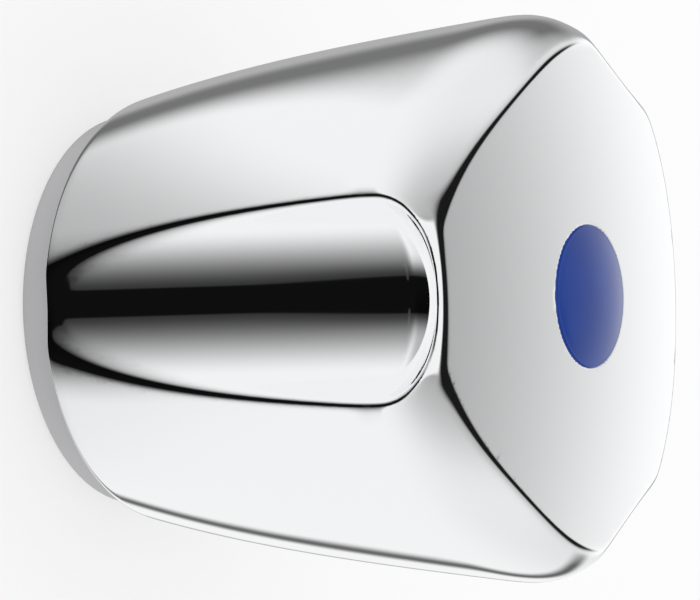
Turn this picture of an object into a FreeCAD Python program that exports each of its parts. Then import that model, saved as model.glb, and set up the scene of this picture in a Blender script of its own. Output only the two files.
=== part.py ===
import FreeCAD, Part
import math
import os
from FreeCAD import Vector

# A three-lobed tap handle standing on its open base: the axis is +Z and the base rim lies on Z = 0.
# The first lobe points to -Y. All sizes are in mm and all angles in degrees.

# Outer form: a round base that flares and grows into three lobes, then curls in towards the front face.
LOBES = 3
FIRST_LOBE = -90.0
RIM_RADIUS = 18.4
RIM_HEIGHT = 3.1
SHOULDER_RADIUS = 19.75
SHOULDER_CHAMFER = 0.8
FACE_HEIGHT = 49.4
FACE_DOME_RADIUS = 120.0
FACE_EDGE_CHAMFER = 0.25
FLARE_SLOPE = 0.245
FLARE_BEND_RADIUS = 192.0
FRONT_RADIUS = 20.55
CURL_SLOPE = 0.9
CURL_BLEND = 6.0
LOBE_BEND_RADIUS = 294.0
FRONT_LOBE = 0.91
LOBE_FADE = 0.41
LOBE_BLEND = 2.0
STATION_SHARES = (0.0, 0.16, 0.31, 0.5, 0.68, 0.8, 0.88, 0.94, 1.0, 1.03)
SIDE_POINTS = 8
SIDE_DEGREE = 3

# Blunt facet across the front end of each lobe.
FACET_REACH = 22.85
FACET_DROP = 2.2
FACET_SLOPE = 45.0
FACET_BLOCK = 30.0

# Finger recess along each lobe: a channel parallel to the axis with a rounded front end.
RECESS_RADIUS = 9.8
RECESS_FLOOR = 19.3
RECESS_STOP = 2.8
RECESS_END_ROUND = 5.0

# Hollow inside, open at the base.
MOUTH_RADIUS = 16.5
MOUTH_LENGTH = 6.0
CAVITY_RADIUS = 15.8
FRONT_WALL = 9.4

# Hub with its ribs, and the screw seat under the index cap.
HUB_RADIUS = 8.4
HUB_BOTTOM = 14.0
SCREW_SEAT_RADIUS = 4.5
SCREW_HEAD_ROOM = 2.5
SCREW_HOLE_RADIUS = 2.2
SCREW_WEB = 4.5
RIB_THICKNESS = 2.0
RIB_HEIGHT = 14.0

# Index cap with a plug that fills the mouth of the screw seat.
CAP_RADIUS = 6.5
CAP_THICKNESS = 2.0
CAP_RISE = 0.3
CAP_CLEARANCE = 0.05
PLUG_LENGTH = 3.4
PLUG_WALL = 1.0

# Splined insert pressed into the hub.
INSERT_RADIUS = 6.2
INSERT_CLEARANCE = 0.02
FLANGE_RADIUS = 7.6
FLANGE_THICKNESS = 1.2
PILOT_RADIUS = 4.2
PILOT_LENGTH = 8.0
PILOT_CHAMFER = 0.5
SPLINE_TEETH = 20
SPLINE_MAJOR_RADIUS = 4.05
SPLINE_MINOR_RADIUS = 3.65
SPLINE_TOOTH_SHARE = 0.42

ORIGIN = Vector(0, 0, 0)
AXIS = Vector(0, 0, 1)
TURN = 360.0 / LOBES
FACET_HEIGHT = FACE_HEIGHT - FACET_DROP
RECESS_AXIS = RECESS_FLOOR + RECESS_RADIUS
RECESS_END = FACE_HEIGHT - RECESS_STOP
CAVITY_TOP = FACE_HEIGHT - FRONT_WALL
RIB_BOTTOM = CAVITY_TOP - RIB_HEIGHT
CAP_SEAT = FACE_HEIGHT - CAP_THICKNESS
SCREW_SEAT = CAP_SEAT - PLUG_LENGTH - SCREW_HEAD_ROOM
HUB_BORE_TOP = SCREW_SEAT - SCREW_WEB
FLANGE_BOTTOM = HUB_BOTTOM - FLANGE_THICKNESS
SPLINE_BOTTOM = FLANGE_BOTTOM + PILOT_LENGTH


def cylinder(radius, low, high):
    return Part.makeCylinder(radius, high - low, Vector(0, 0, low), AXIS)


def turned_profile(points):
    """Solid of revolution about the axis from (radius, height) points."""
    corners = [Vector(radius, 0, height) for radius, height in points]
    return Part.Face(Part.makePolygon(corners + corners[:1])).revolve(ORIGIN, AXIS, 360)


def around_lobes(shape):
    """One copy of the shape, drawn on +X, for each lobe."""
    copies = []
    for index in range(LOBES):
        copy = shape.copy()
        copy.rotate(ORIGIN, AXIS, FIRST_LOBE + TURN * index)
        copies.append(copy)
    return copies


def edges_between(shape, height, first, second):
    """Edges above a height that part two kinds of surface."""
    found = []
    for edge in shape.Edges:
        kinds = [type(face.Surface).__name__ for face in shape.ancestorsOfType(edge, Part.Face)]
        pair = len(kinds) == 2 and edge.BoundBox.ZMin >= height
        if pair and any(a in first and b in second for a, b in (kinds, kinds[::-1])):
            found.append(edge)
    return found


def soft_least(first, second, blend):
    """The lesser of two lengths, with a smooth passage where they come within a blend of each other."""
    overlap = max(blend - abs(first - second), 0.0) / blend
    return min(first, second) - blend * overlap ** 3 / 6.0


def mean_radius(height):
    """Mean radius of the lobed form: the flare from the shoulder, cut short by the curl."""
    rise = height - RIM_HEIGHT
    flare = SHOULDER_RADIUS + FLARE_SLOPE * rise - rise ** 2 / (2.0 * FLARE_BEND_RADIUS)
    return soft_least(flare, FRONT_RADIUS + CURL_SLOPE * (FACE_HEIGHT - height), CURL_BLEND)


def lobe_height(height):
    """How far a lobe stands out from the mean radius: it grows from the shoulder and fades at the face."""
    growth = (height - RIM_HEIGHT) ** 2 / (2.0 * LOBE_BEND_RADIUS)
    return soft_least(growth, FRONT_LOBE + LOBE_FADE * (FACE_HEIGHT - height), LOBE_BLEND)


def broad_side(height, mean, lobe, start):
    """Edge of one section, from the tip of a lobe to the tip of the next."""
    angles = [math.radians(TURN * step / SIDE_POINTS) for step in range(SIDE_POINTS + 1)]
    points = []
    for angle in angles:
        radius = mean + lobe * math.cos(LOBES * angle)
        turn = angle + math.radians(start)
        points.append(Vector(radius * math.cos(turn), radius * math.sin(turn), height))
    curve = Part.BSplineCurve()
    curve.interpolate(Points=points, Parameters=angles, Scale=False,
                      InitialTangent=AXIS.cross(points[0]), FinalTangent=AXIS.cross(points[-1]))
    return curve.toShape()


def lobed_form():
    sections = []
    for share in STATION_SHARES:
        height = RIM_HEIGHT + share * (FACE_HEIGHT - RIM_HEIGHT)
        sizes = (height, mean_radius(height), lobe_height(height))
        sides = [broad_side(*sizes, FIRST_LOBE + TURN * index) for index in range(LOBES)]
        sections.append(Part.Wire(sides))
    return Part.makeLoft(sections, True, False, False, SIDE_DEGREE)


def face_dome():
    """Ball that bounds the front face, turned so that its seam lies on the far side."""
    dome = Part.makeSphere(FACE_DOME_RADIUS, ORIGIN, Vector(1, 0, 0))
    dome.rotate(ORIGIN, Vector(1, 0, 0), 180)
    dome.translate(Vector(0, 0, FACE_HEIGHT - FACE_DOME_RADIUS))
    return dome


def shoulder_cone():
    """Cone that chamfers the lower edge of the lobed form."""
    inner = SHOULDER_RADIUS - SHOULDER_CHAMFER
    return Part.makeCone(inner, inner + FACE_HEIGHT, FACE_HEIGHT, Vector(0, 0, RIM_HEIGHT), AXIS)


def facet_block():
    corner = Vector(0, -FACET_BLOCK, -FACET_BLOCK)
    block = Part.makeBox(FACET_BLOCK, 2 * FACET_BLOCK, 2 * FACET_BLOCK, corner)
    block.rotate(ORIGIN, Vector(0, 1, 0), -FACET_SLOPE)
    block.translate(Vector(FACET_REACH, 0, FACET_HEIGHT))
    return block


def recess_channel():
    channel = cylinder(RECESS_RADIUS, -RIM_HEIGHT, RECESS_END)
    end = [edge for edge in channel.Edges if edge.BoundBox.ZMin > RECESS_END - RECESS_END_ROUND]
    channel = channel.makeFillet(RECESS_END_ROUND, end)
    channel.translate(Vector(RECESS_AXIS, 0, 0))
    return channel


def outer_body():
    form = lobed_form().common(face_dome()).common(shoulder_cone())
    for cutter in around_lobes(facet_block()) + around_lobes(recess_channel()):
        form = form.cut(cutter)
    front = edges_between(form, RECESS_END, ("Sphere",), ("BSplineSurface", "Plane"))
    form = form.makeChamfer(FACE_EDGE_CHAMFER, front)
    return form.fuse(cylinder(RIM_RADIUS, 0, RIM_HEIGHT + SHOULDER_CHAMFER))


def cavity():
    """Hollow inside, with the hub and its ribs left standing."""
    hollow = cylinder(MOUTH_RADIUS, 0, MOUTH_LENGTH).fuse(cylinder(CAVITY_RADIUS, MOUTH_LENGTH, CAVITY_TOP))
    corner = Vector(0, -RIB_THICKNESS / 2, RIB_BOTTOM)
    rib = Part.makeBox(MOUTH_RADIUS, RIB_THICKNESS, CAVITY_TOP - RIB_BOTTOM, corner)
    for standing in [cylinder(HUB_RADIUS, HUB_BOTTOM, CAVITY_TOP)] + around_lobes(rib):
        hollow = hollow.cut(standing)
    return hollow


def handle_body():
    body = outer_body().cut(cavity())
    bores = (
        (CAP_RADIUS + CAP_CLEARANCE, CAP_SEAT, FACE_HEIGHT),
        (SCREW_SEAT_RADIUS, SCREW_SEAT, CAP_SEAT),
        (SCREW_HOLE_RADIUS, HUB_BORE_TOP, SCREW_SEAT),
        (INSERT_RADIUS, HUB_BOTTOM, HUB_BORE_TOP),
    )
    for radius, low, high in bores:
        body = body.cut(cylinder(radius, low, high))
    return body


def index_cap():
    """Round cap with a chamfered edge and a hollow plug."""
    plug_radius = SCREW_SEAT_RADIUS - CAP_CLEARANCE
    plug_end = CAP_SEAT - PLUG_LENGTH
    return turned_profile((
        (0, CAP_SEAT),
        (plug_radius - PLUG_WALL, CAP_SEAT),
        (plug_radius - PLUG_WALL, plug_end),
        (plug_radius, plug_end),
        (plug_radius, CAP_SEAT),
        (CAP_RADIUS, CAP_SEAT),
        (CAP_RADIUS, FACE_HEIGHT),
        (CAP_RADIUS - CAP_RISE, FACE_HEIGHT + CAP_RISE),
        (0, FACE_HEIGHT + CAP_RISE),
    ))


def spline_cutter():
    """Bore whose wall carries the teeth that grip the spindle."""
    pitch = 2.0 * math.pi / SPLINE_TEETH
    points = []
    for tooth in range(SPLINE_TEETH):
        start = tooth * pitch
        for share, radius in ((0.0, SPLINE_MINOR_RADIUS), (SPLINE_TOOTH_SHARE, SPLINE_MINOR_RADIUS),
                              (0.5, SPLINE_MAJOR_RADIUS), (0.5 + SPLINE_TOOTH_SHARE, SPLINE_MAJOR_RADIUS)):
            angle = start + share * pitch
            points.append(Vector(radius * math.cos(angle), radius * math.sin(angle), SPLINE_BOTTOM))
    face = Part.Face(Part.makePolygon(points + points[:1]))
    return face.extrude(Vector(0, 0, HUB_BORE_TOP - SPLINE_BOTTOM))


def spline_insert():
    outer = INSERT_RADIUS - INSERT_CLEARANCE
    insert = turned_profile((
        (PILOT_RADIUS + PILOT_CHAMFER, FLANGE_BOTTOM),
        (FLANGE_RADIUS, FLANGE_BOTTOM),
        (FLANGE_RADIUS, HUB_BOTTOM),
        (outer, HUB_BOTTOM),
        (outer, HUB_BORE_TOP),
        (0, HUB_BORE_TOP),
        (0, SPLINE_BOTTOM),
        (PILOT_RADIUS, SPLINE_BOTTOM),
        (PILOT_RADIUS, FLANGE_BOTTOM + PILOT_CHAMFER),
    ))
    return insert.cut(spline_cutter())


os.makedirs("parts", exist_ok=True)
for name, shape in (
    ("handle_body", handle_body()),
    ("index_cap", index_cap()),
    ("spline_insert", spline_insert()),
):
    shape.exportStep("parts/" + name + ".step")
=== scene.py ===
import math

import bmesh
import bpy
from bpy.props import FloatProperty, FloatVectorProperty, IntProperty, PointerProperty
from mathutils import Matrix, Vector


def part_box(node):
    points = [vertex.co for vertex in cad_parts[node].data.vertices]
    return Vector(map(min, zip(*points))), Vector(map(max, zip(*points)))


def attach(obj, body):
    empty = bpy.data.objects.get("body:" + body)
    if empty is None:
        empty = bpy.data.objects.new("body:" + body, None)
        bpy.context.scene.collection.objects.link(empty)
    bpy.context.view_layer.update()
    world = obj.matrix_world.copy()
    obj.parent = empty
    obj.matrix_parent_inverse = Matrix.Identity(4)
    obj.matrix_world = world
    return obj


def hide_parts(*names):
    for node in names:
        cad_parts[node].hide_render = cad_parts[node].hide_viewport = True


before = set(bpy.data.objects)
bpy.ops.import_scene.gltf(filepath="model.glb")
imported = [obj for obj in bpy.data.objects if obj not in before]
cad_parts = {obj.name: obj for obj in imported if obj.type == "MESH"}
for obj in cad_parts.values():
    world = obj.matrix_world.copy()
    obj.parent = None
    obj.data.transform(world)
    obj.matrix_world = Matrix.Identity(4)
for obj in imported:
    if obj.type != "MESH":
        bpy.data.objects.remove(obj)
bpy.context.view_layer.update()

bl_info = {
    "name": "Tap Handle",
    "version": (1, 0, 0),
    "blender": (4, 5, 0),
    "location": "3D View > Sidebar > Tap Handle",
    "description": "Dresses a three-lobed chromed tap handle and sets up its studio",
    "category": "Object",
}

CAP_LOW, CAP_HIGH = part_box("index_cap")
MM = 1000.0

# The outer form follows a rule in millimetres: a flare that bends over, cut by a curl towards the face.
LOBES = 3
FIRST_LOBE = math.radians(-90.0)
FLARE_SLOPE = 0.245
FLARE_BEND = 0.0026
CURL_RADIUS = 20.55
CURL_SLOPE = 0.9
CURL_BLEND = 6.0
LOBE_GROWTH = 0.0017
LOBE_AT_FACE = 0.91
LOBE_FADE = 0.41
LOBE_BLEND = 2.0
FACET_REACH = 70.05
RIM_OVERLAP = 2.0

# Hollow, hub, ribs and bores of the casting in millimetres: a radius or half a thickness, and the height
# at which it ends.
MOUTH = (16.5, 6.0)
HOLLOW = (15.8, 40.0)
HUB = (8.4, 14.0)
RIB = (1.0, 26.0)
INSERT_BORE = (6.2, 37.0)
SCREW_HOLE = (2.2, 36.0)
SCREW_SEAT = (4.5, 41.5)
CAP_SEAT = (6.3, 47.4)
SEAT_ROUND = 0.4
CAST_ROUND = 1.0

# Index cap in millimetres, and the steps of its profile.
CAP_RISE = 0.3
PLUG_CLEARANCE = 0.05
PLUG_WALL = 1.0
DOME_STEPS = 24
EDGE_STEPS = 6
MERGE_DISTANCE = 1e-7
SHARP_ANGLE = math.radians(40.0)

# How the body is meshed: the field is sampled past the solid's box, and each point then settles on the skin.
MARGIN = 1.5
ADAPTIVITY = 0.002
FIELD_STEP = 0.05
SETTLE_STEPS = 3
LEAST_STEEPNESS = 0.2

# Places on the body where a finish changes, by radius and height in millimetres.
# A pair of numbers, here and below, is where a smooth step starts and where it ends.
CASTING_EDGE = (16.2, 17.2)
CASTING_TOP = (41.0, 42.0)
RIM_EDGE = (17.2, 17.6)
RIM_TOP = (2.95, 3.2)

# Roughness and fine relief of the finishes. Noise scales count waves to the metre.
PLATING_ROUGHNESS = 0.025
PLATING_HAZE = {"Scale": 60.0, "Detail": 3.0}
PLATING_HAZE_ROUGHNESS = 0.03
CASTING_ROUGHNESS = 0.33
CASTING_GRAIN = {"Scale": 900.0, "Detail": 4.0}
CASTING_GRAIN_RANGE = (0.25, 0.75)
CASTING_GRAIN_ROUGHNESS = 0.1
CASTING_BUMP = {"Strength": 0.25, "Distance": 0.00004}
RIM_ROUGHNESS = 0.45
RIM_DULLNESS = 0.95
MOTTLE_RANGE = (0.3, 0.7)
INDEX_CLOUD = {"Scale": 140.0, "Detail": 3.0}
INDEX_SHADE = 0.85
INDEX_ROUGHNESS = 0.10
INDEX_CLOUD_ROUGHNESS = 0.06
INDEX_IOR = 1.5
INSERT_GRAIN = {"Scale": 2500.0, "Detail": 2.0}
INSERT_FLOW = {"Scale": 220.0, "Detail": 3.0, "Distortion": 1.0}
INSERT_SHADE = 0.86
INSERT_ROUGHNESS = 0.42
INSERT_FLOW_ROUGHNESS = 0.2
INSERT_BUMP = {"Strength": 0.2, "Distance": 0.00005}

# Studio floor in metres. It glows faintly so that it comes out even.
FLOOR_HALF = 2.0
FLOOR_HEIGHT = -0.0004
FLOOR_PAINT = 0.4
FLOOR_GLOW = 0.63
FLOOR_ROUGHNESS = 0.9

# Camera of the photograph, in metres, and its frame in pixels.
CAMERA_PLACE = Vector((0.0188, -0.35646, 0.2372))
CAMERA_FORWARD = Vector((-0.046, 0.8575, -0.5124))
CAMERA_DOWN = Vector((0.9989, 0.0384, -0.0259))
CAMERA_TURN = math.radians(-2.5)
CAMERA_CLIP = 0.02
FOCAL_PIXELS = 4500.0
FRAME_PIXELS = (700, 600)
SENSOR = 36.0

# The surround that the chrome reflects, by direction: x, y and z are the parts of a unit direction, and a
# heading is in degrees round the axis from +X. A light of 1 is white.
WALL_LIGHT = 0.95
WALL_FALL = 0.62
WALL_FALL_Z = (-0.5, 1.2)
LOW_FALL = 0.16
LOW_FALL_Z = (-1.0, -0.66)
DIM_SHARE = 0.42
DIM_Z = (-0.86, -0.6)
DIM_X = (-0.2, 0.2)

# Dark room on the camera's side: a black core, in degrees from its middle, and a haze that reaches further.
ROOM_CORE = 13.5
ROOM_CORE_EDGE = 2.0
ROOM_CORE_DROP = 0.03
ROOM_MIDDLE = 0.0164
ROOM_LEAN = 0.068
ROOM_WIDTH = 0.104
ROOM_TAPER = 0.114
ROOM_LEAST_WIDTH = 0.02
ROOM_GROWTH = 5.0
ROOM_GROWTH_Z = (-0.535, -0.5)
ROOM_GROWTH_LOW_Z = (-0.6, -0.572)
ROOM_GROWTH_END = (20.0, 40.0)
ROOM_DARKNESS = 0.995
ROOM_TOP_Z = (-0.15, 0.15)
ROOM_END_Y = (0.45, 0.65)
HAZE_START = 12.0
HAZE_LOW = 50.0
HAZE_MIDDLE = 95.0
HAZE_HIGH = 40.0
HAZE_RISE_Z = (-0.78, -0.55)
HAZE_FALL_Z = (-0.42, -0.25)

# Dark streak and dark line on the far side, by heading. They lie below the horizon.
STREAK_SHARE = 0.8
STREAK_START = (72.0, 80.0)
STREAK_END = (137.0, 158.0)
STREAK_EASE = 0.27
STREAK_EASE_END = (118.0, 132.0)
LINE_SHARE = 0.85
LINE_START = (44.0, 52.0)
LINE_END = (53.0, 60.0)
LEVEL_Z = (-0.1, 0.1)

# Bright wall straight ahead, which the domed face reflects.
AHEAD_LIGHT = 1.07
AHEAD_FALL = 0.75
AHEAD_FALL_Z = (0.05, 1.05)
AHEAD_SHARE = (0.8, 0.92)
AHEAD_BOTTOM_Z = (-0.1, 0.02)
LEAST_FLAT = 0.001

# Dark bar overhead, which the front edges reflect, and a soft lamp on the camera's side for the facets.
# The bar's far edge is given by two lines, each with its slope and where it starts.
BAR_LIGHT = 0.01
BAR_EDGES = ((0.6, 0.52), (1.2, 0.33))
BAR_FAR = (-0.1, 0.06)
BAR_NEAR_Y = (-0.3, -0.1)
BAR_TILT = 0.5
BAR_TILT_FROM = 0.5
BAR_BOTTOM = (0.27, 0.45)
BAR_SIDE = (0.6, 0.8)
LAMP_LIGHT = 0.95
LAMP_FAR_Y = (-0.35, -0.2)
LAMP_BOTTOM_Z = (0.0, 0.2)
LAMP_SIDE = (0.3, 0.5)

# Only the first reflection sees these zones; later ones see white.
FIRST_REFLECTION = (1.2, 1.8)


class Formula:
    """A node socket that takes part in Python expressions."""

    def __init__(self, tree, socket=None):
        self.tree = tree
        self.socket = socket

    def add(self, kind, inputs=(), output=0, **settings):
        """Adds a node: its settings first, then the values or links of its sockets."""
        node = self.tree.nodes.new(kind)
        for name, value in settings.items():
            setattr(node, name, value)
        for key, value in dict(inputs).items():
            if isinstance(value, Formula):
                self.tree.links.new(value.socket, node.inputs[key])
            else:
                node.inputs[key].default_value = value
        return Formula(self.tree, node.outputs[output])

    def out(self, name):
        """Another output of the same node."""
        return Formula(self.tree, self.socket.node.outputs[name])

    def into(self, node, name):
        """Links this socket to a named input of a node."""
        self.tree.links.new(self.socket, node.inputs[name])

    def fn(self, operation, *others):
        """A Math node on this number and any others."""
        values = dict(enumerate((self,) + others))
        return self.add("ShaderNodeMath", values, operation=operation)

    def step(self, low, high):
        """Smooth step from 0 at the low value to 1 at the high one."""
        values = {"Value": self, "From Min": low, "From Max": high}
        return self.add("ShaderNodeMapRange", values, interpolation_type="SMOOTHSTEP")

    def fade(self, low, high):
        """Smooth step from 1 at the low value to 0 at the high one."""
        return 1.0 - self.step(low, high)

    def toward(self, other, share):
        """This number where the share is 0, the other where it is 1."""
        return self * (1.0 - share) + other * share

    def blend(self, first, second):
        """First colour where this factor is 0, second where it is 1."""
        values = {0: self, 6: first, 7: second}
        return self.add("ShaderNodeMix", values, output=2, data_type="RGBA")

    def __add__(self, other):
        return self.fn("ADD", other)

    def __sub__(self, other):
        return self.fn("SUBTRACT", other)

    def __rsub__(self, other):
        return (self * -1.0) + other

    def __mul__(self, other):
        return self.fn("MULTIPLY", other)

    def __truediv__(self, other):
        return self.fn("DIVIDE", other)

    def __neg__(self):
        return self * -1.0

    __radd__ = __add__
    __rmul__ = __mul__


class HandleSizes(bpy.types.PropertyGroup):
    """Sizes of the chromed body"""
    rim_radius: FloatProperty(name="Rim radius", description="Radius of the rim at the open base",
                              default=0.0184, unit="LENGTH")
    rim_height: FloatProperty(name="Rim height", description="Height of the rim below the shoulder",
                              default=0.0031, unit="LENGTH")
    shoulder_radius: FloatProperty(name="Shoulder radius", description="Radius just above the rim",
                                   default=0.01975, unit="LENGTH")
    shoulder_round: FloatProperty(name="Shoulder round", description="Softness of the shoulder's edge",
                                  default=0.002, unit="LENGTH")
    face_height: FloatProperty(name="Face height", description="Height of the front face above the base",
                               default=CAP_HIGH.z - CAP_RISE / MM, unit="LENGTH")
    face_dome: FloatProperty(name="Face dome", description="Radius of the front face's dome",
                             default=0.12, unit="LENGTH")
    edge_round: FloatProperty(name="Front edge round", description="Softness of the front face's edge",
                              default=0.0007, unit="LENGTH")
    facet_round: FloatProperty(name="Facet edge round", description="Softness of the small facets' edges",
                               default=0.0005, unit="LENGTH")
    recess_radius: FloatProperty(name="Recess radius", description="Radius of the finger recesses",
                                 default=0.0098, unit="LENGTH")
    recess_axis: FloatProperty(name="Recess axis", description="Distance of a recess's axis from the middle",
                               default=0.0291, unit="LENGTH")
    recess_end: FloatProperty(name="Recess end", description="Height at which a recess ends",
                              default=0.0466, unit="LENGTH")
    recess_round: FloatProperty(name="Recess end round", description="Radius at the front end of a recess",
                                default=0.005, unit="LENGTH")
    lip_round: FloatProperty(name="Lip round", description="Softness of the lip around a recess",
                             default=0.0013, unit="LENGTH")
    cell: FloatProperty(name="Cell", description="Mesh cell of the body", default=0.000235, unit="LENGTH")


class CapSizes(bpy.types.PropertyGroup):
    """Sizes of the index cap"""
    crown: FloatProperty(name="Crown", description="Height of the cap's dome", default=0.0008, unit="LENGTH")
    proud: FloatProperty(name="Proud", description="Height of the dome's top over a flat cap",
                         default=0.00042, unit="LENGTH")
    edge: FloatProperty(name="Edge", description="Round of the cap's edge", default=0.00025, unit="LENGTH")
    segments: IntProperty(name="Segments", description="Steps round the cap", default=128, min=24)


class Finishes(bpy.types.PropertyGroup):
    """Colours of the finishes"""
    chrome: FloatVectorProperty(name="Chrome", description="Colour of the bright plating",
                                default=(0.93, 0.935, 0.945), subtype="COLOR")
    rim: FloatVectorProperty(name="Rim", description="Colour of the satin rim at the base",
                             default=(0.46, 0.46, 0.47), subtype="COLOR")
    casting: FloatVectorProperty(name="Casting", description="Colour of the dull metal in the hollow",
                                 default=(0.40, 0.40, 0.41), subtype="COLOR")
    index: FloatVectorProperty(name="Index blue", description="Colour of the cold index",
                               default=(0.007, 0.044, 0.285), subtype="COLOR")
    insert: FloatVectorProperty(name="Insert", description="Colour of the splined insert",
                                default=(0.70, 0.69, 0.66), subtype="COLOR")
    floor: FloatVectorProperty(name="Floor", description="Colour of the studio floor",
                               default=(0.95, 0.95, 0.95), subtype="COLOR")


def new_material(name):
    """An empty node material with its Principled shader, and a Formula to draw in it."""
    material = bpy.data.materials.new(name)
    material.use_nodes = True
    shader = material.node_tree.nodes["Principled BSDF"]
    return material, shader, Formula(material.node_tree)


def rgba(colour, share=1.0):
    """An opaque colour for a socket, darkened to a share of its light."""
    return tuple(share * part for part in colour) + (1.0,)


def object_place(draw):
    """Object coordinates in metres."""
    return draw.add("ShaderNodeTexCoord", output="Object")


def noise(draw, place, pattern):
    """Noise at a place, with the scale and detail of a pattern."""
    return draw.add("ShaderNodeTexNoise", {"Vector": place, **pattern})


def relief(draw, pattern, height):
    """Fine relief from a height, with the strength of a pattern."""
    return draw.add("ShaderNodeBump", {**pattern, "Height": height})


def chrome_material(finishes):
    """Bright plating, a satin rim at the base, and dull bare casting in the hollow."""
    material, shader, draw = new_material("bright_chrome")
    place = object_place(draw)
    x = draw.add("ShaderNodeSeparateXYZ", {0: place})
    y = x.out("Y")
    z = x.out("Z") * MM
    radius = (x * x + y * y).fn("SQRT") * MM
    inside = radius.fade(*CASTING_EDGE) * z.fade(*CASTING_TOP)
    bare = inside * noise(draw, place, CASTING_GRAIN).step(*CASTING_GRAIN_RANGE)
    rim = radius.step(*RIM_EDGE) * z.fade(*RIM_TOP)
    colour = inside.blend(rgba(finishes.chrome), rgba(finishes.casting))
    rim.blend(colour, rgba(finishes.rim)).into(shader, "Base Color")
    roughness = PLATING_ROUGHNESS + PLATING_HAZE_ROUGHNESS * noise(draw, place, PLATING_HAZE)
    roughness = roughness + CASTING_ROUGHNESS * inside + CASTING_GRAIN_ROUGHNESS * bare + RIM_ROUGHNESS * rim
    roughness.into(shader, "Roughness")
    (1.0 - RIM_DULLNESS * rim).into(shader, "Metallic")
    relief(draw, CASTING_BUMP, bare).into(shader, "Normal")
    return material


def index_material(finishes):
    """Glossy blue plastic with a faint cloudiness."""
    material, shader, draw = new_material("index_blue")
    cloud = noise(draw, object_place(draw), INDEX_CLOUD)
    shade = cloud.step(*MOTTLE_RANGE)
    shade.blend(rgba(finishes.index, INDEX_SHADE), rgba(finishes.index)).into(shader, "Base Color")
    (INDEX_ROUGHNESS + INDEX_CLOUD_ROUGHNESS * cloud).into(shader, "Roughness")
    shader.inputs["IOR"].default_value = INDEX_IOR
    return material


def insert_material(finishes):
    """Moulded plastic with a fine matt grain and faint flow marks."""
    material, shader, draw = new_material("moulded_insert")
    place = object_place(draw)
    flow = noise(draw, place, INSERT_FLOW)
    shade = flow.step(*MOTTLE_RANGE)
    shade.blend(rgba(finishes.insert, INSERT_SHADE), rgba(finishes.insert)).into(shader, "Base Color")
    (INSERT_ROUGHNESS + INSERT_FLOW_ROUGHNESS * flow).into(shader, "Roughness")
    relief(draw, INSERT_BUMP, noise(draw, place, INSERT_GRAIN)).into(shader, "Normal")
    return material


FIELD_SIZES = ("rim_radius", "rim_height", "shoulder_radius", "shoulder_round", "face_height", "face_dome",
               "edge_round", "facet_round", "recess_radius", "recess_axis", "recess_end", "recess_round",
               "lip_round")


def new_tree(name, inputs, outputs):
    """A geometry tree with its sockets, a Formula on its group input and its group output node."""
    tree = bpy.data.node_groups.new(name, "GeometryNodeTree")
    for label, kind in inputs:
        tree.interface.new_socket(label, in_out="INPUT", socket_type=kind)
    for label, kind in outputs:
        tree.interface.new_socket(label, in_out="OUTPUT", socket_type=kind)
    start = Formula(tree).add("NodeGroupInput")
    end = tree.nodes.new("NodeGroupOutput")
    return tree, start, end


def size_sockets():
    """Sockets for the sizes that shape the body."""
    return [(name, "NodeSocketFloat") for name in FIELD_SIZES]


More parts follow.
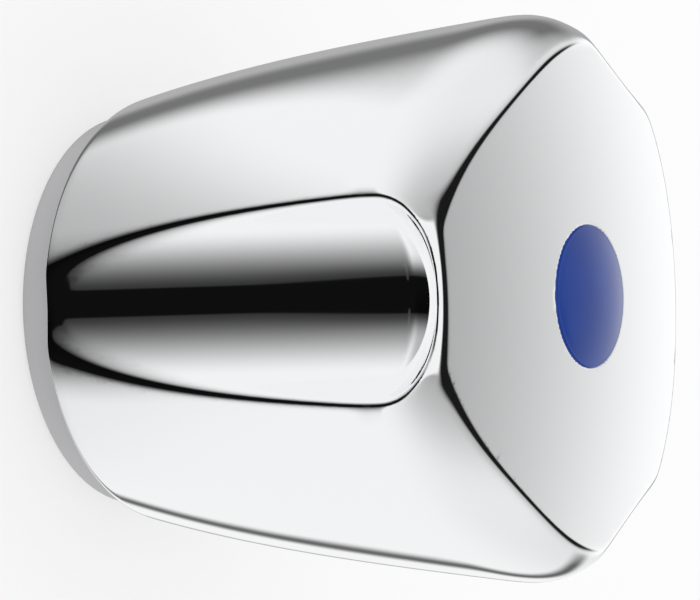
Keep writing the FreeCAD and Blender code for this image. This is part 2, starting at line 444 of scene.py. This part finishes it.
def field_tree():
    """Distance from a point to the body's skin: below 0 inside the metal."""
    inputs = [("Point", "NodeSocketVector")] + size_sockets()
    tree, start, end = new_tree("handle_field", inputs, [("Distance", "NodeSocketFloat")])
    size = {name: start.out(name) for name in FIELD_SIZES}
    x = start.add("ShaderNodeSeparateXYZ", {0: start.out("Point")})
    y = x.out("Y")
    z = x.out("Z")
    radius = (x * x + y * y).fn("SQRT")
    half_turn = math.pi / LOBES
    turn = (y.fn("ARCTAN2", x) - FIRST_LOBE).fn("WRAP", half_turn, -half_turn)
    along = radius * turn.fn("COSINE")
    across = radius * turn.fn("SINE")

    rise = z - size["rim_height"]
    below_face = size["face_height"] - z
    flare = size["shoulder_radius"] + FLARE_SLOPE * rise - FLARE_BEND * rise * rise
    mean = flare.fn("SMOOTH_MIN", CURL_RADIUS + CURL_SLOPE * below_face, CURL_BLEND)
    lobe = (LOBE_GROWTH * rise * rise).fn("SMOOTH_MIN", LOBE_AT_FACE + LOBE_FADE * below_face, LOBE_BLEND)
    skin = radius - mean - lobe * (turn * LOBES).fn("COSINE")
    skin = skin.fn("SMOOTH_MAX", -rise, size["shoulder_round"])

    lift = z - size["face_height"] + size["face_dome"]
    face = (radius * radius + lift * lift).fn("SQRT") - size["face_dome"]
    facet = (along + z - FACET_REACH) * math.sqrt(0.5)
    skin = skin.fn("SMOOTH_MAX", face, size["edge_round"])
    skin = skin.fn("SMOOTH_MAX", facet, size["facet_round"])

    offset = along - size["recess_axis"]
    wide = (offset * offset + across * across).fn("SQRT") - size["recess_radius"] + size["recess_round"]
    tall = z - size["recess_end"] + size["recess_round"]
    wide = wide.fn("MAXIMUM", 0.0)
    tall = tall.fn("MAXIMUM", 0.0)
    recess = (wide * wide + tall * tall).fn("SQRT") - size["recess_round"]
    skin = skin.fn("SMOOTH_MAX", -recess, size["lip_round"])

    rim = (radius - size["rim_radius"]).fn("SMOOTH_MAX", -z, CAST_ROUND)
    rim = rim.fn("MAXIMUM", rise - RIM_OVERLAP)
    solid = skin.fn("MINIMUM", rim)

    mouth = (radius - MOUTH[0]).fn("MAXIMUM", z - MOUTH[1])
    hollow = (radius - HOLLOW[0]).fn("SMOOTH_MAX", z - HOLLOW[1], CAST_ROUND)
    hub = (radius - HUB[0]).fn("SMOOTH_MAX", HUB[1] - z, CAST_ROUND)
    rib = (across.fn("ABSOLUTE") - RIB[0]).fn("SMOOTH_MAX", RIB[1] - z, CAST_ROUND)
    rib = rib.fn("MAXIMUM", -along)
    standing = hub.fn("SMOOTH_MIN", rib, CAST_ROUND)
    hollow = hollow.fn("SMOOTH_MAX", -standing, CAST_ROUND).fn("MINIMUM", mouth)
    solid = solid.fn("SMOOTH_MAX", -hollow, CAST_ROUND)

    insert_bore = (radius - INSERT_BORE[0]).fn("MAXIMUM", z - INSERT_BORE[1])
    solid = solid.fn("MAXIMUM", -insert_bore)
    for bore, floor in (SCREW_HOLE, SCREW_SEAT):
        solid = solid.fn("MAXIMUM", -((radius - bore).fn("MAXIMUM", floor - z)))
    cap_seat = (radius - CAP_SEAT[0]).fn("MAXIMUM", CAP_SEAT[1] - z)
    solid = solid.fn("SMOOTH_MAX", -cap_seat, SEAT_ROUND)
    solid.into(end, "Distance")
    return tree


def settle_tree(field):
    """Moves each point on to the skin and gives it the skin's own normal."""
    inputs = [("Mesh", "NodeSocketGeometry")] + size_sockets()
    tree, start, end = new_tree("settle_on_skin", inputs, [("Mesh", "NodeSocketGeometry")])
    size = {name: start.out(name) for name in FIELD_SIZES}

    def distance(point):
        return start.add("GeometryNodeGroup", {"Point": point, **size}, node_tree=field)

    place = start.add("GeometryNodeInputPosition")
    slopes = []
    for axis in range(3):
        shift = Vector(FIELD_STEP if index == axis else 0.0 for index in range(3))
        ahead = start.add("ShaderNodeVectorMath", {0: place, 1: shift}, operation="ADD")
        behind = start.add("ShaderNodeVectorMath", {0: place, 1: shift}, operation="SUBTRACT")
        slopes.append((distance(ahead) - distance(behind)) / (2.0 * FIELD_STEP))
    normal = start.add("ShaderNodeCombineXYZ", dict(enumerate(slopes)))
    steepness = start.add("ShaderNodeVectorMath", {0: normal, 1: normal}, output="Value",
                          operation="DOT_PRODUCT")
    back = -(distance(place) / steepness.fn("MAXIMUM", LEAST_STEEPNESS))
    move = start.add("ShaderNodeVectorMath", {0: normal, "Scale": back}, operation="SCALE")
    mesh = start.add("GeometryNodeSetPosition", {"Geometry": start.out("Mesh"), "Offset": move})
    facing = start.add("GeometryNodeSetMeshNormal", {"Mesh": mesh, "Custom Normal": normal}, mode="FREE",
                       domain="POINT")
    facing.into(end, "Mesh")
    return tree


def body_tree(material):
    """The whole body as the skin of its field, meshed cell by cell and settled."""
    field = field_tree()
    settle = settle_tree(field)
    inputs = [("Geometry", "NodeSocketGeometry"), ("Low", "NodeSocketVector"), ("High", "NodeSocketVector"),
              ("Cells X", "NodeSocketInt"), ("Cells Y", "NodeSocketInt"), ("Cells Z", "NodeSocketInt")]
    outputs = [("Geometry", "NodeSocketGeometry")]
    tree, start, end = new_tree("tap_handle_body", inputs + size_sockets(), outputs)
    size = {name: start.out(name) for name in FIELD_SIZES}
    place = start.add("GeometryNodeInputPosition")
    distance = start.add("GeometryNodeGroup", {"Point": place, **size}, node_tree=field)
    volume = start.add("GeometryNodeVolumeCube", {
        "Density": -distance, "Background": -1.0, "Min": start.out("Low"), "Max": start.out("High"),
        "Resolution X": start.out("Cells X"), "Resolution Y": start.out("Cells Y"),
        "Resolution Z": start.out("Cells Z")})
    mesh = start.add("GeometryNodeVolumeToMesh",
                     {"Volume": volume, "Threshold": 0.0, "Adaptivity": ADAPTIVITY}, resolution_mode="GRID")
    mesh = start.add("GeometryNodeSetShadeSmooth", {"Geometry": mesh})
    mesh = start.add("GeometryNodeTriangulate", {"Mesh": mesh})
    for _ in range(SETTLE_STEPS):
        mesh = start.add("GeometryNodeGroup", {"Mesh": mesh, **size}, node_tree=settle)
    mesh = start.add("GeometryNodeTransform", {"Geometry": mesh, "Scale": Vector((1.0, 1.0, 1.0)) / MM})
    mesh = start.add("GeometryNodeRealizeInstances", {"Geometry": mesh})
    mesh = start.add("GeometryNodeSetMaterial", {"Geometry": mesh, "Material": material})
    mesh.into(end, "Geometry")
    return tree


def grown(name, tree, values):
    """A plain mesh object made by a geometry tree with the given inputs."""
    holder = bpy.data.objects.new(name, bpy.data.meshes.new(name))
    bpy.context.scene.collection.objects.link(holder)
    modifier = holder.modifiers.new(name, "NODES")
    modifier.node_group = tree
    for socket in tree.interface.items_tree:
        if socket.in_out == "INPUT" and socket.name in values:
            modifier[socket.identifier] = values[socket.name]
    evaluated = holder.evaluated_get(bpy.context.evaluated_depsgraph_get())
    mesh = bpy.data.meshes.new_from_object(evaluated)
    holder.modifiers.remove(modifier)
    holder.data = mesh
    mesh.name = name
    if not mesh.polygons:
        raise RuntimeError(f"{name} came out empty")
    return holder


class TAPHANDLE_OT_body(bpy.types.Operator):
    """Grows the chromed body from the rule of its form"""
    bl_idname = "tap_handle.body"
    bl_label = "Body"

    def execute(self, context):
        sizes = context.scene.tap_handle_sizes
        low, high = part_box("handle_body")
        margin = Vector((MARGIN, MARGIN, MARGIN))
        low = low * MM - margin
        high = high * MM + margin
        cell = sizes.cell * MM
        values = {name: getattr(sizes, name) * MM for name in FIELD_SIZES}
        values["Low"] = low
        values["High"] = high
        for axis, label in enumerate(("Cells X", "Cells Y", "Cells Z")):
            values[label] = math.ceil((high[axis] - low[axis]) / cell)
        material = chrome_material(context.scene.tap_handle_finishes)
        body = grown("chromed_body", body_tree(material), values)
        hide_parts("handle_body")
        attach(body, "root")
        return {"FINISHED"}


def dome_profile(sizes, radius):
    """Profile of the cap's outside from the middle of its dome to the end of its rounded edge."""
    rim = radius - sizes.edge
    ball = (rim * rim + sizes.crown * sizes.crown) / (2.0 * sizes.crown)
    top = CAP_HIGH.z + sizes.proud
    profile = []
    for step in range(DOME_STEPS + 1):
        reach = rim * step / DOME_STEPS
        profile.append((reach, top - ball + math.sqrt(ball * ball - reach * reach)))
    shoulder = profile[-1][1] - sizes.edge
    for step in range(1, EDGE_STEPS + 1):
        angle = math.pi / 2 * (1 - step / EDGE_STEPS)
        profile.append((rim + sizes.edge * math.cos(angle), shoulder + sizes.edge * math.sin(angle)))
    return profile


def turned(name, profile, segments):
    """A mesh turned about the handle's axis from (radius, height) points."""
    form = bmesh.new()
    points = [form.verts.new((radius, 0.0, height)) for radius, height in profile]
    edges = [form.edges.new(pair) for pair in zip(points, points[1:])]
    bmesh.ops.spin(form, geom=points + edges, cent=(0, 0, 0), axis=(0, 0, 1), angle=2 * math.pi,
                   steps=segments, use_merge=True)
    bmesh.ops.remove_doubles(form, verts=form.verts, dist=MERGE_DISTANCE)
    bmesh.ops.recalc_face_normals(form, faces=form.faces)
    for face in form.faces:
        face.smooth = True
    mesh = bpy.data.meshes.new(name)
    form.to_mesh(mesh)
    form.free()
    mesh.set_sharp_from_angle(angle=SHARP_ANGLE)
    piece = bpy.data.objects.new(name, mesh)
    bpy.context.scene.collection.objects.link(piece)
    return piece


class TAPHANDLE_OT_index_cap(bpy.types.Operator):
    """Turns the blue index cap with its low crown and its plug"""
    bl_idname = "tap_handle.index_cap"
    bl_label = "Index cap"

    def execute(self, context):
        sizes = context.scene.tap_handle_cap
        radius = CAP_HIGH.x
        seat = CAP_SEAT[1] / MM
        plug = (SCREW_SEAT[0] - PLUG_CLEARANCE) / MM
        plug_inside = plug - PLUG_WALL / MM
        profile = dome_profile(sizes, radius)
        profile += [(radius, seat), (plug, seat), (plug, CAP_LOW.z), (plug_inside, CAP_LOW.z),
                    (plug_inside, seat), (0.0, seat)]
        cap = turned("index_disc", profile, sizes.segments)
        cap.data.materials.append(index_material(context.scene.tap_handle_finishes))
        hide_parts("index_cap")
        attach(cap, "root")
        return {"FINISHED"}


class TAPHANDLE_OT_insert(bpy.types.Operator):
    """Gives the splined insert its moulded finish"""
    bl_idname = "tap_handle.insert"
    bl_label = "Splined insert"

    def execute(self, context):
        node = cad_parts["spline_insert"]
        node.data.materials.clear()
        node.data.materials.append(insert_material(context.scene.tap_handle_finishes))
        return {"FINISHED"}


def studio_camera():
    """The camera of the photograph, turned so that the handle's axis lies across the frame."""
    data = bpy.data.cameras.new("photo_camera")
    data.sensor_fit = "HORIZONTAL"
    data.sensor_width = SENSOR
    data.lens = FOCAL_PIXELS * SENSOR / FRAME_PIXELS[0]
    data.clip_start = CAMERA_CLIP
    back = -CAMERA_FORWARD.normalized()
    right = (-CAMERA_DOWN).cross(back).normalized()
    up = back.cross(right)
    camera = bpy.data.objects.new("photo_camera", data)
    bpy.context.scene.collection.objects.link(camera)
    pose = Matrix((right, up, back)).transposed().to_4x4()
    pose.translation = CAMERA_PLACE
    camera.matrix_world = Matrix.Rotation(CAMERA_TURN, 4, "Z") @ pose
    bpy.context.scene.camera = camera


def floor_material(finishes):
    """Matt pale paint with a faint even glow."""
    material, shader, _ = new_material("pale_floor")
    shader.inputs["Base Color"].default_value = rgba(finishes.floor, FLOOR_PAINT)
    shader.inputs["Emission Color"].default_value = rgba(finishes.floor)
    shader.inputs["Emission Strength"].default_value = FLOOR_GLOW
    shader.inputs["Roughness"].default_value = FLOOR_ROUGHNESS
    shader.inputs["Specular IOR Level"].default_value = 0.0
    return material


def studio_floor(finishes):
    """A wide floor just under the handle, which the chrome doesn't reflect."""
    form = bmesh.new()
    bmesh.ops.create_grid(form, x_segments=1, y_segments=1, size=FLOOR_HALF)
    bmesh.ops.translate(form, verts=form.verts, vec=(0.0, 0.0, FLOOR_HEIGHT))
    mesh = bpy.data.meshes.new("floor")
    form.to_mesh(mesh)
    form.free()
    mesh.materials.append(floor_material(finishes))
    floor = bpy.data.objects.new("floor", mesh)
    bpy.context.scene.collection.objects.link(floor)
    floor.visible_glossy = False


def dark_room(x, y, z):
    """Share of black along a direction from the dark room on the camera's side."""
    width = (ROOM_WIDTH - ROOM_TAPER * y).fn("MAXIMUM", ROOM_LEAST_WIDTH)
    away = (x + ROOM_LEAN * y - ROOM_MIDDLE).fn("ABSOLUTE") * ROOM_CORE / width
    growth = (z.step(*ROOM_GROWTH_Z) + z.fade(*ROOM_GROWTH_LOW_Z)) * away.fade(*ROOM_GROWTH_END)
    away = away - ROOM_GROWTH * growth
    reach = HAZE_LOW + (HAZE_MIDDLE - HAZE_LOW) * z.step(*HAZE_RISE_Z)
    reach = reach - (HAZE_MIDDLE - HAZE_HIGH) * z.step(*HAZE_FALL_Z)
    core = ROOM_CORE_DROP * away.fade(ROOM_CORE, ROOM_CORE + ROOM_CORE_EDGE)
    haze = (1.0 - ROOM_CORE_DROP) * away.fade(HAZE_START, reach)
    return (core + haze) * ROOM_DARKNESS * z.fade(*ROOM_TOP_Z) * y.fade(*ROOM_END_Y)


def side_streaks(x, y, z):
    """Share of black along a direction from the streak and the line on the far side."""
    heading = y.fn("ARCTAN2", x) * math.degrees(1.0)
    streak = STREAK_SHARE * heading.fade(*STREAK_END) - STREAK_EASE * heading.fade(*STREAK_EASE_END)
    streak = streak * heading.step(*STREAK_START)
    line = LINE_SHARE * heading.step(*LINE_START) * heading.fade(*LINE_END)
    return (streak + line) * z.fade(*LEVEL_Z)


def overhead_bar(aside, y, z):
    """Share of the dark bar overhead along a direction."""
    raised = z + BAR_TILT * (y - BAR_TILT_FROM).fn("MAXIMUM", 0.0)
    edges = [y - slope * aside - start for slope, start in BAR_EDGES]
    bar = edges[0].fn("MINIMUM", edges[1]).fade(*BAR_FAR) * y.step(*BAR_NEAR_Y)
    return bar * raised.step(*BAR_BOTTOM) * aside.fade(*BAR_SIDE)


def studio_world():
    """Soft white surround; the chrome also sees a dark room behind the camera and a dark bar overhead."""
    world = bpy.data.worlds.new("soft_studio")
    world.use_nodes = True
    tree = world.node_tree
    draw = Formula(tree)
    way = draw.add("ShaderNodeTexCoord", output="Generated")
    x = draw.add("ShaderNodeSeparateXYZ", {0: way})
    y = x.out("Y")
    z = x.out("Z")

    light = WALL_LIGHT - WALL_FALL * z.step(*WALL_FALL_Z) - LOW_FALL * z.fade(*LOW_FALL_Z)
    dim = DIM_SHARE * z.fade(*DIM_Z) * x.fade(*DIM_X)
    light = light * (1.0 - dark_room(x, y, z)) * (1.0 - side_streaks(x, y, z)) * (1.0 - dim)

    flat = (x * x + y * y).fn("SQRT").fn("MAXIMUM", LEAST_FLAT)
    ahead = (y / flat).step(*AHEAD_SHARE) * z.step(*AHEAD_BOTTOM_Z)
    light = light.toward(AHEAD_LIGHT - AHEAD_FALL * z.step(*AHEAD_FALL_Z), ahead)

    aside = (x - CAMERA_FORWARD.x).fn("ABSOLUTE")
    light = light.toward(BAR_LIGHT, overhead_bar(aside, y, z))
    lamp = y.fade(*LAMP_FAR_Y) * z.step(*LAMP_BOTTOM_Z) * aside.fade(*LAMP_SIDE)
    light = light.toward(LAMP_LIGHT, lamp)

    glossy = draw.add("ShaderNodeLightPath", output="Is Glossy Ray")
    first = glossy * glossy.out("Glossy Depth").fade(*FIRST_REFLECTION)
    light = light * first + (1.0 - first)
    background = tree.nodes["Background"]
    background.inputs["Color"].default_value = (1.0, 1.0, 1.0, 1.0)
    light.into(background, "Strength")
    bpy.context.scene.world = world
    bpy.context.scene.view_settings.view_transform = "Standard"


class TAPHANDLE_OT_stage(bpy.types.Operator):
    """Sets the pale floor, the soft light and the camera of the photograph"""
    bl_idname = "tap_handle.stage"
    bl_label = "Stage"

    def execute(self, context):
        studio_world()
        studio_floor(context.scene.tap_handle_finishes)
        studio_camera()
        return {"FINISHED"}


class TAPHANDLE_PT_panel(bpy.types.Panel):
    """Lists the pieces of the handle and their settings"""
    bl_idname = "TAPHANDLE_PT_panel"
    bl_label = "Tap Handle"
    bl_space_type = "VIEW_3D"
    bl_region_type = "UI"
    bl_category = "Tap Handle"

    def draw(self, context):
        for operator in OPERATORS:
            self.layout.operator(operator.bl_idname)
        for group in SETTINGS:
            settings = getattr(context.scene, group)
            for name in SETTINGS[group].__annotations__:
                self.layout.prop(settings, name)


SETTINGS = {"tap_handle_sizes": HandleSizes, "tap_handle_cap": CapSizes, "tap_handle_finishes": Finishes}
OPERATORS = (TAPHANDLE_OT_body, TAPHANDLE_OT_index_cap, TAPHANDLE_OT_insert, TAPHANDLE_OT_stage)
CLASSES = (*SETTINGS.values(), *OPERATORS, TAPHANDLE_PT_panel)


def register():
    """Registers the classes and puts their settings on the scene."""
    for item in CLASSES:
        bpy.utils.register_class(item)
    for name, group in SETTINGS.items():
        setattr(bpy.types.Scene, name, PointerProperty(type=group))


def unregister():
    """Takes the settings off the scene and unregisters the classes."""
    for name in SETTINGS:
        delattr(bpy.types.Scene, name)
    for item in reversed(CLASSES):
        bpy.utils.unregister_class(item)


def main():
    """Makes the handle's pieces and its stage."""
    register()
    bpy.ops.tap_handle.body()
    bpy.ops.tap_handle.index_cap()
    bpy.ops.tap_handle.insert()
    bpy.ops.tap_handle.stage()


if __name__ == "__main__":
    main()
